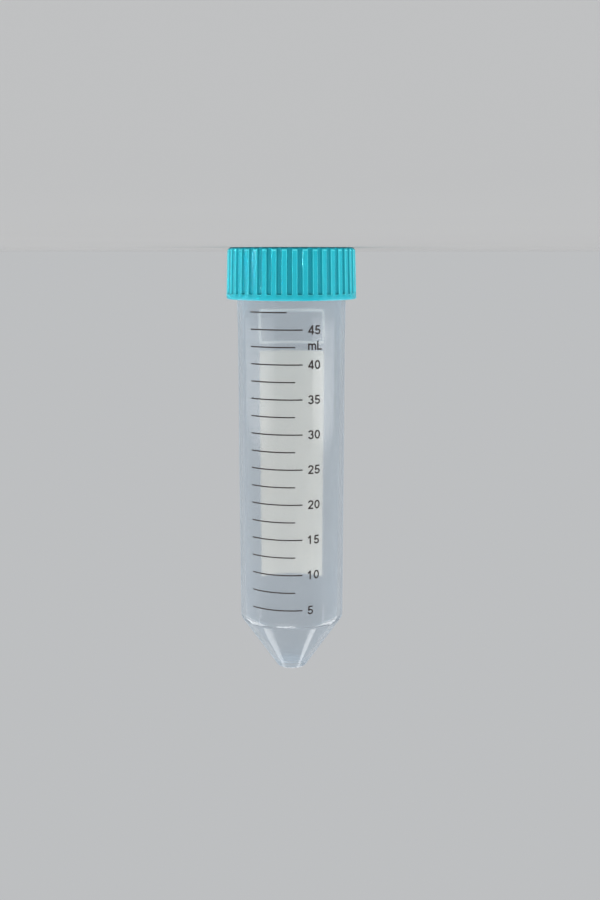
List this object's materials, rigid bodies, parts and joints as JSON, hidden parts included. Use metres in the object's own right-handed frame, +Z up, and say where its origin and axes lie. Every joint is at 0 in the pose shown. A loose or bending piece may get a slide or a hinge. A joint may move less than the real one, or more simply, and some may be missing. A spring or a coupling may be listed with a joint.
{
  "type": "50 ml conical tube",
  "caption": "Clear-walled laboratory tube with a conical end, a printed volume scale and a grooved screw cap, standing on the cap.",
  "frame": {"origin": "on the floor, under the middle of the object's box", "axes": "+Z is up and runs from the cap's flat top, on which the part stands, to the conical tip. The volume scale faces -Y, and its numbers are upside down while the part stands on its cap. +X is on the numbers' left."},
  "size_m": [0.0348, 0.0348, 0.116],
  "materials": {
    "tube_plastic": "satin",
    "cap_plastic": "satin",
    "scale_ink": "satin",
    "writing_patch": "matte"
  },
  "bodies": {
    "cap": {"cap": "cap_plastic"},
    "tube": {"tube": "tube_plastic"}
  },
  "joints": [
    {"name": "tube_lift", "type": "slide", "parent": "cap", "child": "tube", "axis": [0, 0, 1], "range_m": [0, 0.04]}
  ]
}
